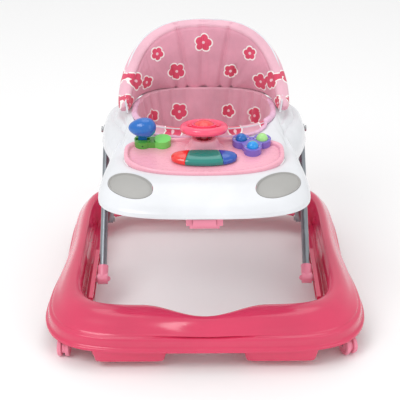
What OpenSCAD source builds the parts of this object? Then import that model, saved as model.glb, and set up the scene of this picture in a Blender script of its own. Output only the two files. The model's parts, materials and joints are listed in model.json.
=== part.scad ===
// Baby walker: a ring base on four twin-wheel casters, a cross-leg folding frame,
// a moulded tray with a toy panel, and a padded seat with a wrap-round backrest.
// Millimetres. X to the right seen from the front, front of the walker towards -Y, Z up.

/* [Base] */
// Length of the base, front to rear
base_l = 710; // [690:1:730]
// Greatest half width of the base, near its front corners
base_front_hw = 347; // [342:1:352]
// Half width of the base at its rear
base_rear_hw = 316; // [312:1:322]
// Height of the base flange above the floor
base_z = 45; // [44:1:48]
// Height of the top of the base
base_top = 105; // [102:1:108]
// Wall of the base shell
base_wall = 3; // [2.5:0.5:4]

/* [Legs] */
// Outside radius of the leg tubes
tube_r = 8; // [7:0.5:8]
// Wall of the leg tubes
tube_wall = 1.5; // [1:0.1:2]
// Half the distance between the pivots of one leg
leg_half = 184.2; // [182:0.1:186]
// Slope of the legs at the middle height setting, in degrees
leg_angle = 39.8; // [39:0.1:41]
// Height of the lower pivots
low_z = 70; // [69:0.5:72]
// Distance of the fixed pivots behind the middle of the base
pivot_y = 185; // [182:1:188]

/* [Tray] */
// Y of the front of the bumper
tray_front = -282; // [-285:1:-280]
// Y of the rear of the tray
tray_rear = 250; // [246:1:254]
// Half width of the bumper
bumper_hw = 218; // [216:1:220]
// Wall of the tray shell
tray_wall = 3; // [2.5:0.5:3.5]
// Tilt of the toy panel, in degrees
panel_tilt = 7.2; // [7:0.1:7.5]

/* [Toys] */
// Radius of the steering wheel ring, to the middle of its rim
wheel_r = 42; // [40:1:44]
// Half width of the toy panel
panel_hw = 169; // [167:1:171]
// Width of the row of three music keys
keys_w = 138; // [134:1:140]

/* [Seat] */
// Half width of the seat hole in the tray
hole_hw = 160; // [158:1:162]
// Height of the lowest point of the seat
seat_bottom = 200; // [195:1:215]
// Height of the top of the backrest
back_top = 553; // [540:1:560]

/* [Casters] */
// Radius of the caster wheels
caster_r = 21; // [20:0.5:21.5]
// Width of one caster wheel
caster_w = 9; // [8:0.5:10]

/* [Hidden] */
$fn = 48;
fine = 96;
gap = 0.3;
fit = 0.05;

// --- places worked out from the driving dimensions ---
slide_y = pivot_y - 2 * leg_half * cos(leg_angle);
top_z = low_z + 2 * leg_half * sin(leg_angle);
mid_y = pivot_y - leg_half * cos(leg_angle);
mid_z = low_z + leg_half * sin(leg_angle);
front_leg_x = 225;
rear_leg_mid_x = 207;
rear_leg_low_x = 228;
rear_leg_top_x = 2 * rear_leg_mid_x - rear_leg_low_x;
panel_origin = [0, -105, 371];
seat_mid_y = 101;
seat_half_l = 113;
caster_at = [[-293, -277], [293, -277], [-262, 285], [262, 285]];
caster_turn = [175, 205, 200, 160];
caster_trail = 12;
spring_wire = 0.8;

// --- helpers ---
function mix(a, b, u) = a + (b - a) * u;
function smooth(u) = let (v = min(max(u, 0), 1)) v * v * (3 - 2 * v);
function bump(x, at, half) = exp(-pow((x - at) / half, 2));
function power(v, n) = sign(v) * pow(abs(v), 2 / n);
function flat_dist(a, b) = norm([b[0] - a[0], b[1] - a[1]]);

// Faces of a closed tube of n stations with m section points each.
function ring_faces(n, m) = [
    for (i = [0:n - 1], j = [0:m - 1])
        [i * m + j, i * m + (j + 1) % m, ((i + 1) % n) * m + (j + 1) % m, ((i + 1) % n) * m + j]
];

// Faces of an open tube of n stations with flat ends.
function tube_faces(n, m) = concat(
    [for (i = [0:n - 2], j = [0:m - 1])
        [i * m + j, (i + 1) * m + j, (i + 1) * m + (j + 1) % m, i * m + (j + 1) % m]],
    [[for (j = [0:m - 1]) j], [for (j = [m - 1:-1:0]) (n - 1) * m + j]]
);

// A point d millimetres from the outer outline point a towards the inner one b, at height z.
function across(a, b, d, z) = let (u = d / flat_dist(a, b)) [mix(a[0], b[0], u), mix(a[1], b[1], u), z];

module both() {
    children();
    mirror([1, 0, 0]) children();
}

module rod(a, b, r) {
    v = b - a;
    translate(a) rotate([0, acos(v[2] / norm(v)), atan2(v[1], v[0])]) cylinder(h = norm(v), r = r);
}

// A cylinder along X, centred on x = 0.
module x_pin(r, w) {
    rotate([0, 90, 0]) cylinder(h = w, r = r, center = true);
}

module spring(r, h, turns) {
    pitch = h / turns;
    for (k = [0:turns - 1])
        translate([0, 0, pitch * (k + 0.5)])
            rotate_extrude() translate([r, 0]) circle(r = spring_wire, $fn = 16);
}

module on_panel() {
    translate(panel_origin) rotate([panel_tilt, 0, 0]) children();
}

// --- base ---
base_n = 72;
// Reach of a unit superellipse of power n in the direction s, and so evenly spread points.
function reach(s, n) = pow(pow(abs(cos(s)), n) + pow(abs(sin(s)), n), -1 / n);
function base_hw(y) = mix(base_front_hw, base_rear_hw, smooth((y + 260) / 320));
function base_outer(s) = let (r = reach(s, 5), y = base_l / 2 * r * sin(s)) [base_hw(y) * r * cos(s), y];
// The opening: nearly straight sides, and a front edge that dips forward in the middle.
function opening_dip(x, y) = y < 0 && abs(x) < 130 ? 24 * (1 + cos(x / 130 * 180)) : 0;
function base_inner(s) = let (
    r = reach(s, 7),
    x = 268 * r * cos(s),
    y = 12 + 266 * r * sin(s)
) [x, y - opening_dip(x, y)];

function base_section(a, b) = let (w = flat_dist(a, b), t = base_wall) [
    across(a, b, 0, base_z), across(a, b, 0, base_z + 6), across(a, b, 6, base_z + 8),
    across(a, b, 8, base_z + 24), across(a, b, 14, base_z + 28), across(a, b, 0.3 * w, base_top - 22),
    across(a, b, 0.5 * w, base_top - 10), across(a, b, 0.68 * w, base_top - 1),
    across(a, b, 0.85 * w, base_top), across(a, b, w - 2, base_top - 6), across(a, b, w + 4, base_top - 16),
    across(a, b, w + 10, base_z + 10), across(a, b, w + 24, base_z + 6), across(a, b, w + 24, base_z),
    across(a, b, w + 7, base_z), across(a, b, w + 1, base_top - 18), across(a, b, w - 5, base_top - 6 - t),
    across(a, b, 0.85 * w, base_top - t), across(a, b, 0.68 * w, base_top - 1 - t),
    across(a, b, 0.5 * w, base_top - 10 - t), across(a, b, 0.3 * w, base_top - 22 - t),
    across(a, b, 16, base_z + 24), across(a, b, 11, base_z + 20), across(a, b, 9, base_z)
];

module base_shell() {
    rings = [for (k = [0:base_n - 1]) base_section(base_outer(k * 360 / base_n), base_inner(k * 360 / base_n))];
    color("hotpink") polyhedron([for (r = rings, p = r) p], ring_faces(base_n, len(rings[0])));
}

// C-shaped channels bolted to the inside of the base, in which the front shoes slide.
rail_x = 248;
rail_y0 = -197;
rail_y1 = 12;
module slide_rails() {
    color("deeppink") both() difference() {
        translate([rail_x - 9, rail_y0, low_z - 14]) cube([9, rail_y1 - rail_y0, 26]);
        translate([rail_x - 10, rail_y0 + 8, low_z - 8.2]) cube([7.5, rail_y1 - rail_y0 - 16, 16.4]);
        for (y = [rail_y0 + 4, rail_y1 - 4])
            translate([rail_x - 4, y, low_z]) x_pin(1.6, 20);
    }
}

module base_screws() {
    color("silver") both() for (y = [rail_y0 + 4, rail_y1 - 4])
        translate([rail_x - 10, y, low_z]) {
            x_pin(3, 2);
            translate([6, 0, 0]) x_pin(1.5, 10);
        }
}

// Upright lugs on the rear of the base that carry the rear leg pins.
module pivot_brackets() {
    color("deeppink") both() difference() {
        union() {
            translate([240, pivot_y, low_z]) rotate([0, 90, 0]) cylinder(h = 7, r = 13);
            translate([240, pivot_y - 13, base_z + 6.5]) cube([7, 26, low_z - base_z - 6.5]);
            translate([240, pivot_y - 20, base_z + 6.5]) cube([8, 40, 4]);
        }
        translate([243, pivot_y, low_z]) x_pin(4.01, 20);
    }
}

module caster_sockets() {
    color("deeppink") for (p = caster_at) translate([p[0], p[1], 0]) difference() {
        union() {
            translate([0, 0, base_z + 1]) cylinder(h = 24, r = 9);
            translate([0, 0, base_z + 1]) cylinder(h = 3, r = 15);
        }
        translate([0, 0, base_z]) cylinder(h = 22, r = 4.05);
    }
}

// Stop blocks under the front bar, that stop the walker at a step.
module stopper_blocks() {
    color("hotpink") both() translate([155, -336, 0]) difference() {
        union() {
            translate([-78, -12, 24]) cube([156, 40, base_z - 24]);
            translate([-70, -12, 18]) cube([140, 40, 8]);
        }
        translate([-68, -6, 28]) cube([136, 28, 40]);
    }
}

// --- legs ---
leg_u = [0, cos(leg_angle), sin(leg_angle)];
bend_swell = 0.6;
module tube_run(points, r) {
    for (k = [0:len(points) - 2]) rod(points[k], points[k + 1], r);
    if (len(points) > 2) for (k = [1:len(points) - 2]) translate(points[k]) sphere(r = r + bend_swell);
}

module eye(x, y, z, w, hole) {
    translate([x, y, z]) difference() {
        x_pin(tube_r + 2, w);
        x_pin(hole, w + 2);
    }
}

// Rear legs: one bent tube, hinged low on the base, with its cross bar sliding under the tray.
module rear_legs() {
    side = [-1, 1];
    low = [for (d = side) [d * rear_leg_low_x, pivot_y, low_z]];
    high = [for (d = side) [d * rear_leg_top_x, slide_y, top_z]];
    run = [for (k = [0, 1]) (high[k] - low[k]) / norm(high[k] - low[k])];
    solid_bend = 20;
    color("slategray") {
        both() eye(rear_leg_low_x, pivot_y, low_z, 15, 4.05);
        difference() {
            tube_run([low[0] + 7 * run[0], high[0], high[1], low[1] + 7 * run[1]], tube_r);
            for (k = [0, 1]) rod(low[k], high[k] - solid_bend * run[k], tube_r - tube_wall);
            rod(high[0] + [solid_bend, 0, 0], high[1] - [solid_bend, 0, 0], tube_r - tube_wall);
            both() translate([rear_leg_mid_x, mid_y, mid_z]) x_pin(4.05, 40);
            both() translate(low[1]) x_pin(tube_r + 1.8, 18);
            // drain hole of the cross bar, on its underside
            translate([0, slide_y, top_z - 20]) cylinder(h = 20, r = 2.5);
        }
    }
}

module rear_pins() {
    color("silver") both() {
        translate([233.5, pivot_y, low_z]) x_pin(4, 27);
        translate([218, pivot_y, low_z]) x_pin(7, 4);
    }
}

// Front legs: a straight tube each side, hinged high on the tray, sliding low along the base.
module front_legs() {
    low = [front_leg_x, slide_y, low_z];
    high = [front_leg_x, pivot_y, top_z];
    color("slategray") both() {
        difference() {
            rod(low + 2 * leg_u, high - 7 * leg_u, tube_r);
            rod(low, high, tube_r - tube_wall);
            translate([front_leg_x, mid_y, mid_z]) x_pin(4.05, 40);
            translate(high) x_pin(tube_r + 1.8, 18);
        }
        eye(front_leg_x, pivot_y, top_z, 14, 4.05);
    }
}

module front_shoes() {
    low = [front_leg_x, slide_y, low_z];
    color("lightpink") both() {
        difference() {
            union() {
                rod(low - 6 * leg_u, low + 30 * leg_u, tube_r + 3.5);
                translate(low) x_pin(12, 22);
                translate([front_leg_x - 11, slide_y, low_z]) sphere(r = 6);
            }
            rod(low + 2 * leg_u, low + 40 * leg_u, tube_r + 0.02);
        }
        translate([240.5, slide_y, low_z]) x_pin(8, 9);
    }
}

// Nylon sliders on the ends of the rear leg cross bar, that run in the tray guides.
module upper_sliders() {
    color("gainsboro") both() translate([150, slide_y, top_z]) difference() {
        x_pin(14.8, 20);
        x_pin(tube_r + 0.02, 30);
    }
}

module centre_pins() {
    color("silver") both() {
        translate([216.5, mid_y, mid_z]) x_pin(4, 37);
        translate([237, mid_y, mid_z]) x_pin(7, 4);
        translate([195.5, mid_y, mid_z]) x_pin(7, 5);
        translate([216, mid_y, mid_z]) x_pin(4, 3);
    }
}

module top_pins() {
    color("silver") both() {
        translate([220.5, pivot_y, top_z]) x_pin(4, 28);
        translate([236, pivot_y, top_z]) x_pin(7, 4);
        translate([204.5, pivot_y, top_z]) x_pin(7, 4.8);
    }
}

// --- tray shell ---
front_n = 28;
side_n = 11;
rear_n = 18;
nose_l = 120;
tail_l = 118;
// Half width of the tray along its sides: a waist behind the bumper, then wide wings.
function tray_hw(y) = bumper_hw + smooth((y - tray_front - nose_l) / 40) * (
    12 * bump(y, 105, 75) - 18 * bump(y, -45, 60) - 2);
function nose(u) = [bumper_hw * power(-cos(180 * u), 3.1), tray_front + nose_l * (1 - power(sin(180 * u), 3.1))];
function tail(u) = [tray_hw(tray_rear - tail_l) * power(cos(180 * u), 3.4),
    tray_rear - tail_l * (1 - power(sin(180 * u), 3.4))];
function side(u, d) = let (y = mix(tray_front + nose_l, tray_rear - tail_l, d > 0 ? u : 1 - u)) [d * tray_hw(y), y];
tray_outline = concat(
    [for (k = [0:front_n - 1]) nose(k / front_n)],
    [for (k = [0:side_n - 1]) side(k / side_n, 1)],
    [for (k = [0:rear_n - 1]) tail(k / rear_n)],
    [for (k = [0:side_n - 1]) side(k / side_n, -1)]
);
hole_angles = concat(
    [for (k = [0:front_n - 1]) 205 + 130 * k / front_n],
    [for (k = [0:side_n - 1]) 335 + 45 * k / side_n],
    [for (k = [0:rear_n - 1]) 20 + 140 * k / rear_n],
    [for (k = [0:side_n - 1]) 160 + 45 * k / side_n]
);
function hole(s, grow) = [
    (hole_hw + grow) * power(cos(s), 2.6), seat_mid_y + (seat_half_l + grow) * power(sin(s), 2.6)
];

// The outside rolls up from the lip as a quarter ellipse, wide over the bumper and tight elsewhere.
shoulder_h = 47;
function lip_z(y) = 314 + 4 * smooth((y + 160) / 80);
function edge_z(y) = mix(380, 389, smooth((y + 20) / 100));
function roll_w(w) = min(0.6 * w, mix(26, 120, smooth((w - 70) / 110)));
function roll_p(w) = mix(1, 1.6, smooth((w - 70) / 110));
function rolled(a, b, t) = let (w = flat_dist(a, b), r = roll_w(w), z = lip_z(a[1])) [
    for (s = [0, 20, 40, 60, 78])
        across(a, b, t + (r - t) * (1 - cos(s)), z + 10 + (shoulder_h - 10 - t) * pow(sin(s), roll_p(w)))
];
function tray_section(a, b) = let (
    w = flat_dist(a, b), r = roll_w(w), z = lip_z(a[1]), s = z + shoulder_h, e = edge_z(b[1]), t = tray_wall
) concat(
    [across(a, b, 0, z)], rolled(a, b, 0),
    [across(a, b, r, s), across(a, b, mix(r, w, 0.5), mix(s, e, 0.55)), across(a, b, w - 2, e),
        across(a, b, w, e - 3), across(a, b, w, e - 12), across(a, b, w - t, e - 12), across(a, b, w - t - 1, e - t),
        across(a, b, mix(r, w, 0.5), mix(s, e, 0.55) - t), across(a, b, r, s - t)],
    [for (k = [4:-1:0]) rolled(a, b, t)[k]], [across(a, b, t, z)]
);

module tray_shell() {
    n = len(tray_outline);
    rings = [for (k = [0:n - 1]) tray_section(tray_outline[k], hole(hole_angles[k], 0))];
    color("white") difference() {
        polyhedron([for (r = rings, p = r) p], ring_faces(n, len(rings[0])));
        on_panel() translate([0, 0, -30]) linear_extrude(60) polygon(panel_outline(0));
        both() at_headlight() almond(60, 0);
    }
}

// Almond headlights, recessed in the bumper.
lamp_r = 71;
lamp_off = 38;
module almond(h, inset) {
    intersection() {
        translate([0, -lamp_off, 0]) cylinder(h = h, r = lamp_r - inset, center = true);
        translate([0, lamp_off, 0]) cylinder(h = h, r = lamp_r - inset, center = true);
    }
}

module at_headlight() {
    translate([-151, -207, 350]) rotate([14, -9, -42]) children();
}

module headlights() {
    color("silver") both() at_headlight() translate([0, 0, -3]) almond(4, 0.5);
}

// Rails under the tray for the nylon sliders.
module slider_guides() {
    color("whitesmoke") both() translate([150, -104, top_z + 15.3]) difference() {
        translate([-13, -92, -6.3]) cube([26, 184, 10]);
        translate([-10.5, -90, -7]) cube([21, 180, 7]);
    }
}

// Side plates that hang from the wings and carry the front leg hinges.
module hinge_brackets() {
    color("whitesmoke") both() difference() {
        union() {
            translate([210, pivot_y, top_z]) x_pin(11, 6);
            translate([207, pivot_y - 11, top_z]) cube([6, 22, 22]);
            translate([180, pivot_y - 11, top_z + 18]) cube([33, 22, 4]);
        }
        translate([226, pivot_y, top_z]) x_pin(4.01, 40);
    }
}

// --- adjuster under the bumper ---
module adjuster_housing() {
    color("palevioletred") difference() {
        union() {
            translate([-37, -268, 292]) cube([74, 46, 24]);
            translate([-30, -268, 286]) cube([60, 46, 7]);
            for (x = [-37, 25]) translate([x, -258, 315]) cube([12, 36, 20]);
        }
        translate([-24, -270, 294]) cube([48, 44, 15]);
    }
}

module release_lever() {
    color("lightpink") {
        translate([-23.5, -274, 294.5]) cube([47, 34, 2.3]);
        translate([-23.5, -274, 294.5]) cube([47, 5, 14]);
        translate([0, -240.2, 303]) rotate([90, 0, 0]) cylinder(h = 30, r = 3);
    }
}

module release_spring() {
    color("silver") translate([0, -228, 303]) rotate([90, 0, 0]) spring(5, 28, 6);
}

// Toothed rack between the slider guides, against which the cross bar is locked.
module lock_plate() {
    color("gainsboro") difference() {
        translate([-14, -196, top_z + 9]) cube([28, 184, 6]);
        for (y = [-186:16:-20]) translate([0, y, top_z + 8]) cylinder(h = 5, r = 5);
    }
}

// --- toy panel ---
function panel_outline(k) = [
    for (s = [0:6:354]) [
        (panel_hw - k) * power(cos(s), 2.6),
        8 + (sin(s) > 0 ? (62 - k) * power(sin(s), 4.5) : (82 - k) * power(sin(s), 2.2))
    ]
];
wheel_place = [0, -62, 416];
wheel_tilt = 9;
module on_wheel() {
    translate(wheel_place) rotate([-wheel_tilt, 0, 0]) children();
}

// Room in the panel's rim for the gear and spinner housings that sit in it.
module toy_pockets() {
    for (x = [0, 42]) translate([gear_at[0] + x, gear_at[1], -3]) cylinder(h = 20, r = 18 + fit);
    translate([gear_at[0], gear_at[1] - 13 - fit, -3]) cube([42, 26 + 2 * fit, 20]);
    for (b = balls) translate([spin_at[0] + b[0], spin_at[1] + b[1], -3]) cylinder(h = 20, r = 19 + fit);
    translate([spin_at[0], spin_at[1], -3]) cylinder(h = 20, r = 22 + fit);
}

module toy_panel() {
    color("pink") difference() {
        on_panel() {
            difference() {
                translate([0, 0, -6]) linear_extrude(8) polygon(panel_outline(0.5));
                translate([0, 0, -3]) linear_extrude(9) polygon(panel_outline(11));
                toy_pockets();
            }
            translate([0, 40, -4]) cylinder(h = 11, r1 = 28, r2 = 20);
        }
        on_wheel() translate([0, 0, -60]) cylinder(h = 60, r = 9.05);
    }
}

module panel_cover() {
    color("whitesmoke") on_panel() difference() {
        translate([-120, -50, -38]) cube([240, 105, 31.5]);
        translate([-117, -47, -35]) cube([234, 99, 30]);
        translate([-83, -20, -40]) cube([66, 40, 10]);
        for (x = [44:8:76], y = [-12:8:12]) translate([x, y, -40]) cylinder(h = 8, r = 2);
    }
}

module battery_box() {
    color("dimgray") on_panel() difference() {
        translate([-82, -19, -34.5]) cube([64, 38, 18]);
        translate([-80, -17, -36]) cube([60, 34, 17.5]);
    }
}

module battery_door() {
    color("whitesmoke") on_panel() translate([-82.5, -19.5, -38]) cube([65, 39, 2.5]);
}

module speaker() {
    color("black") on_panel() translate([60, 0, -34.9]) {
        cylinder(h = 3, r = 20);
        translate([0, 0, 3]) cylinder(h = 5, r1 = 18, r2 = 10);
        translate([0, 0, 8]) cylinder(h = 4, r = 9);
    }
}

module circuit_board() {
    color("green") on_panel() difference() {
        translate([-60, -40, -14]) cube([120, 60, 1.6]);
        for (x = [-55, 55], y = [-35, 15]) translate([x, y, -15]) cylinder(h = 4, r = 1.6);
    }
}

module steering_column() {
    color("firebrick") on_wheel() {
        translate([0, 0, -48]) cylinder(h = 39, r = 9);
        translate([0, 0, -9]) cylinder(h = 9.6, r = 5);
    }
}

module steering_wheel() {
    color("tomato") on_wheel() difference() {
        union() {
            rotate_extrude($fn = fine) translate([wheel_r, 0]) circle(r = 9);
            translate([0, 0, -6]) cylinder(h = 9, r = wheel_r - 3);
            translate([0, 0, -8]) cylinder(h = 17, r = 26);
        }
        translate([0, 0, 2]) cylinder(h = 20, r = 21.4);
        translate([0, 0, -20]) cylinder(h = 40, r = 5.05);
        for (x = [-31, 31]) translate([x, 0, -20]) cylinder(h = 40, r = 5.5);
    }
}

module horn_button() {
    color("red") on_wheel() difference() {
        intersection() {
            translate([0, 0, 4]) cylinder(h = 20, r = 21);
            translate([0, 0, -15]) sphere(r = 32, $fn = fine);
        }
        translate([0, 0, 2]) cylinder(h = 8.5, r = 7);
    }
}

module horn_spring() {
    color("silver") on_wheel() translate([0, 0, 2]) spring(5.9, 6.4, 3);
}

// --- gear lever ---
gear_at = [-130, 49.5];
module gear_housing() {
    color("limegreen") on_panel() difference() {
        union() {
            translate([gear_at[0], gear_at[1], -3]) cylinder(h = 15, r = 18);
            translate([gear_at[0] + 42, gear_at[1], -3]) cylinder(h = 16, r = 18);
            translate([gear_at[0], gear_at[1] - 13, -3]) cube([42, 26, 13]);
            for (x = [16:3.5:24]) translate([gear_at[0] + x, gear_at[1] - 12, 9]) cube([1.6, 24, 2]);
        }
        translate([gear_at[0] - 15, gear_at[1] - 4.5, -1]) cube([30, 9, 20]);
        translate([gear_at[0], gear_at[1], 4]) rotate([90, 0, 0]) cylinder(h = 60, r = 2.02, center = true);
    }
}

module gear_pin() {
    color("silver") on_panel() translate([gear_at[0], gear_at[1], 4]) rotate([90, 0, 0])
        cylinder(h = 30, r = 2, center = true);
}

module gear_lever() {
    color("royalblue") on_panel() translate([gear_at[0], gear_at[1], 4]) rotate([90, 0, 0]) difference() {
        union() {
            cylinder(h = 7, r = 4.4, center = true);
            translate([-4.4, 0, -3.5]) cube([8.8, 6, 7]);
            translate([-9, 5, -3.5]) cube([18, 21, 7]);
        }
        cylinder(h = 20, r = 2.06, center = true);
    }
}

knob_l = 59;
module gear_knob() {
    profile = [for (k = [0:18]) let (s = k * 10, r = 21 * sin(s) * (1 - 0.2 * cos(s))) [r, -knob_l / 2 * cos(s)]];
    color("dodgerblue") on_panel() translate([gear_at[0], gear_at[1], 40]) difference() {
        rotate([0, 90, 0]) rotate_extrude() polygon(profile);
        translate([-9.05, -3.55, -40]) cube([18.1, 7.1, 30.2]);
    }
}

// --- spinner ---
spin_at = [101, 34];
ball_r = 12.5;
balls = [[-22, 15], [22, 15], [1, -16]];
module spinner_housing() {
    color("mediumpurple") on_panel() translate([spin_at[0], spin_at[1], -3]) difference() {
        union() {
            for (b = balls) translate([b[0], b[1], 0]) cylinder(h = 15, r = 19);
            cylinder(h = 15, r = 22);
        }
        for (b = balls) translate([b[0], b[1], 14]) {
            sphere(r = ball_r + 0.8);
            x_pin(1.52, 40);
        }
    }
}

module spinner_axles() {
    color("silver") on_panel() translate([spin_at[0], spin_at[1], 11])
        for (b = balls) translate([b[0], b[1], 0]) x_pin(1.5, 33);
}

module ball(k, shade) {
    color(shade) on_panel() translate([spin_at[0] + balls[k][0], spin_at[1] + balls[k][1], 11])
        rotate([0, 90, 0]) difference() {
            sphere(r = ball_r, $fn = fine);
            cylinder(h = 40, r = 1.55, center = true);
        }
}
module ball_left() { ball(0, "deepskyblue"); }
module ball_right() { ball(1, "lightgreen"); }
module ball_front() { ball(2, "deepskyblue"); }

// --- music keys: one almond dome cut in three ---
key_front = 34;
key_rear = 20;
function arc_r(h) = (keys_w * keys_w / 4 + h * h) / (2 * h);
module key_plan() {
    intersection() {
        translate([0, key_rear - arc_r(key_rear)]) circle(r = arc_r(key_rear), $fn = 360);
        translate([0, arc_r(key_front) - key_front]) circle(r = arc_r(key_front), $fn = 360);
    }
}

module key(part) {
    cut = [[-18, 60], [-48, -60]];
    on_panel() translate([0, -8, 0]) difference() {
        intersection() {
            linear_extrude(20) key_plan();
            translate([0, -4, -258]) sphere(r = 270, $fn = 360);
            linear_extrude(20) polygon(
                part == 0 ? [cut[0] - [0.3, 0], cut[1] - [0.3, 0], [-90, -60], [-90, 60]]
                : part == 2 ? [[18.3, 60], [90, 60], [90, -60], [48.3, -60]]
                : [cut[0] + [0.3, 0], [17.7, 60], [47.7, -60], cut[1] + [0.3, 0]]
            );
        }
        translate([(part - 1) * 44, -4, -1]) cylinder(h = 7.5, r = 6);
    }
}
module key_left() { color("red") key(0); }
module key_middle() { color("teal") key(1); }
module key_right() { color("royalblue") key(2); }

module key_springs() {
    color("silver") on_panel() for (x = [-44, 0, 44])
        translate([x, -12, -3]) spring(4.5, 6.8, 4);
}

// --- seat ---
ring_pts = 48;
module seat_ring() {
    color("whitesmoke") translate([0, 0, 378]) linear_extrude(13) difference() {
        polygon([for (k = [0:ring_pts - 1]) hole(k * 360 / ring_pts, -0.5)]);
        polygon([for (k = [0:ring_pts - 1]) hole(k * 360 / ring_pts, -4)]);
    }
}

function bowl_ring(grow, z) = [for (k = [0:ring_pts - 1]) let (p = hole(k * 360 / ring_pts, grow)) [p[0], p[1], z]];
module bowl(inset) {
    rings = [
        bowl_ring(-78 - inset, seat_bottom + inset), bowl_ring(-62 - inset, seat_bottom + 8 + inset),
        bowl_ring(-36 - inset, seat_bottom + 50 + inset), bowl_ring(-20 - inset, seat_bottom + 105),
        bowl_ring(-10 - inset, seat_bottom + 160), bowl_ring(-5 - inset, 388 + inset)
    ];
    polyhedron([for (r = rings, p = r) p], tube_faces(len(rings), ring_pts));
}

module seat_bowl() {
    color("plum") difference() {
        bowl(0);
        bowl(6);
        both() translate([60, 60, 262]) rotate([128, 0, 0]) cylinder(h = 120, r = 44);
    }
}

// Backrest: a crescent that follows the rear of the seat hole and leans back.
back_n = 36;
back_deep = 24;
function back_s(k) = -6 + 192 * k / back_n;
function back_z(s, from_top) = back_top - from_top - 135 * (1 - max(sin(s), 0)) * (1 - from_top / 200);
function lean(z) = 8 + 0.13 * (z - 392);
function back_point(s, d, z) = let (p = hole(s, lean(z) + d)) [p[0], p[1], z];
function back_section(s, d0, d1, z0, round) = let (z1 = back_z(s, 0), r = round, zm = (z0 + z1) / 2) [
    back_point(s, d0 + r, z0), back_point(s, d1, z0), back_point(s, d1, zm), back_point(s, d1, z1 - r),
    back_point(s, d1 - r, z1), back_point(s, d0 + 1.6 * r, z1), back_point(s, d0 + 0.3 * r, z1 - r),
    back_point(s, d0, zm), back_point(s, d0, z0 + r)
];
module crescent(d0, d1, z0, round) {
    rings = [for (k = [back_n:-1:0]) back_section(back_s(k), d0, d1, z0, round)];
    polyhedron([for (r = rings, p = r) p], tube_faces(back_n + 1, len(rings[0])));
}
module backrest_board() { color("whitesmoke") crescent(0, 4, 391, 0.5); }
module backrest_cushion() { color("palevioletred") crescent(-back_deep, -gap, 391.5, 6); }

// --- casters ---
module at_caster(k) {
    translate([caster_at[k][0], caster_at[k][1], 0]) rotate([0, 0, caster_turn[k]]) children();
}

module caster_fork(k) {
    color("pink") at_caster(k) difference() {
        union() {
            translate([0, 0, caster_r * 2 + 0.6]) cylinder(h = 2, r = 16);
            translate([0, 0, caster_r * 2]) cylinder(h = 24, r = 4);
            translate([0, caster_trail, caster_r]) x_pin(15, 6);
            translate([-3, -6, caster_r]) cube([6, 22, caster_r + 1]);
        }
        translate([0, caster_trail, caster_r]) x_pin(2, 10);
    }
}

module caster_wheels(k) {
    color("lightpink") at_caster(k) translate([0, caster_trail, caster_r]) difference() {
        for (x = [-1, 1]) translate([x * (3.6 + caster_w / 2), 0, 0]) x_pin(caster_r, caster_w);
        x_pin(2.04, 60);
    }
}

module caster_axle(k) {
    color("silver") at_caster(k) translate([0, caster_trail, caster_r]) x_pin(1.99, 2 * caster_w + 9);
}
module caster_fork_1() { caster_fork(0); }
module caster_fork_2() { caster_fork(1); }
module caster_fork_3() { caster_fork(2); }
module caster_fork_4() { caster_fork(3); }
module caster_wheels_1() { caster_wheels(0); }
module caster_wheels_2() { caster_wheels(1); }
module caster_wheels_3() { caster_wheels(2); }
module caster_wheels_4() { caster_wheels(3); }
module caster_axle_1() { caster_axle(0); }
module caster_axle_2() { caster_axle(1); }
module caster_axle_3() { caster_axle(2); }
module caster_axle_4() { caster_axle(3); }

base_shell();
slide_rails();
pivot_brackets();
caster_sockets();
stopper_blocks();
base_screws();
rear_legs();
rear_pins();
front_legs();
front_shoes();
upper_sliders();
centre_pins();
top_pins();
tray_shell();
headlights();
slider_guides();
hinge_brackets();
adjuster_housing();
release_lever();
release_spring();
lock_plate();
toy_panel();
panel_cover();
steering_column();
steering_wheel();
horn_button();
horn_spring();
gear_housing();
gear_lever();
gear_knob();
gear_pin();
spinner_housing();
spinner_axles();
ball_left();
ball_right();
ball_front();
key_left();
key_middle();
key_right();
key_springs();
circuit_board();
speaker();
battery_box();
battery_door();
seat_ring();
seat_bowl();
backrest_board();
backrest_cushion();
caster_fork_1();
caster_fork_2();
caster_fork_3();
caster_fork_4();
caster_wheels_1();
caster_wheels_2();
caster_wheels_3();
caster_wheels_4();
caster_axle_1();
caster_axle_2();
caster_axle_3();
caster_axle_4();
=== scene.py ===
"""Baby walker: the looks that go round the CAD frame. Metres, front towards -Y, Z up."""
import json
import math

import bpy
import bmesh
import numpy as np
from mathutils import Matrix, Vector
from mathutils.bvhtree import BVHTree


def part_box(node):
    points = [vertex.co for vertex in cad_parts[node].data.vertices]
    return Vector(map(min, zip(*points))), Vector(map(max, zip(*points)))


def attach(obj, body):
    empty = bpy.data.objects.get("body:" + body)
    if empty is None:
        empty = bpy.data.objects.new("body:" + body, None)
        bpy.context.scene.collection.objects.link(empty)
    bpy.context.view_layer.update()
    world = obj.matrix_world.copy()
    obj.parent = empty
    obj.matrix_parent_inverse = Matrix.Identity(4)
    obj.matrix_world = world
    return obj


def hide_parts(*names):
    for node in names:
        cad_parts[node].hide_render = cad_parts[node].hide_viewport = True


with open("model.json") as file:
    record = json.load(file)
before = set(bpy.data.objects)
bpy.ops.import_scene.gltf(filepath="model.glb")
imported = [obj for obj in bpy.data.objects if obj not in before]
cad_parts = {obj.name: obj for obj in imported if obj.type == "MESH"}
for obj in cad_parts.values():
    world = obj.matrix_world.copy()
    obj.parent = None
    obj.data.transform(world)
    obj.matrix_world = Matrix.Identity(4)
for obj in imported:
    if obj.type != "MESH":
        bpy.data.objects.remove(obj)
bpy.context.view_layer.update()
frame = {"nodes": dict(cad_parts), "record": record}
BODY_OF = {node: body for body, nodes in frame["record"]["behaviour"]["bodies"].items() for node in nodes}


# ---------------------------------------------------------------- numbers
def mix(a, b, u):
    return a + (b - a) * u


def smooth(u):
    v = min(max(u, 0.0), 1.0)
    return v * v * (3 - 2 * v)


def power(v, n):
    return math.copysign(abs(v) ** (2 / n), v)


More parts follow.
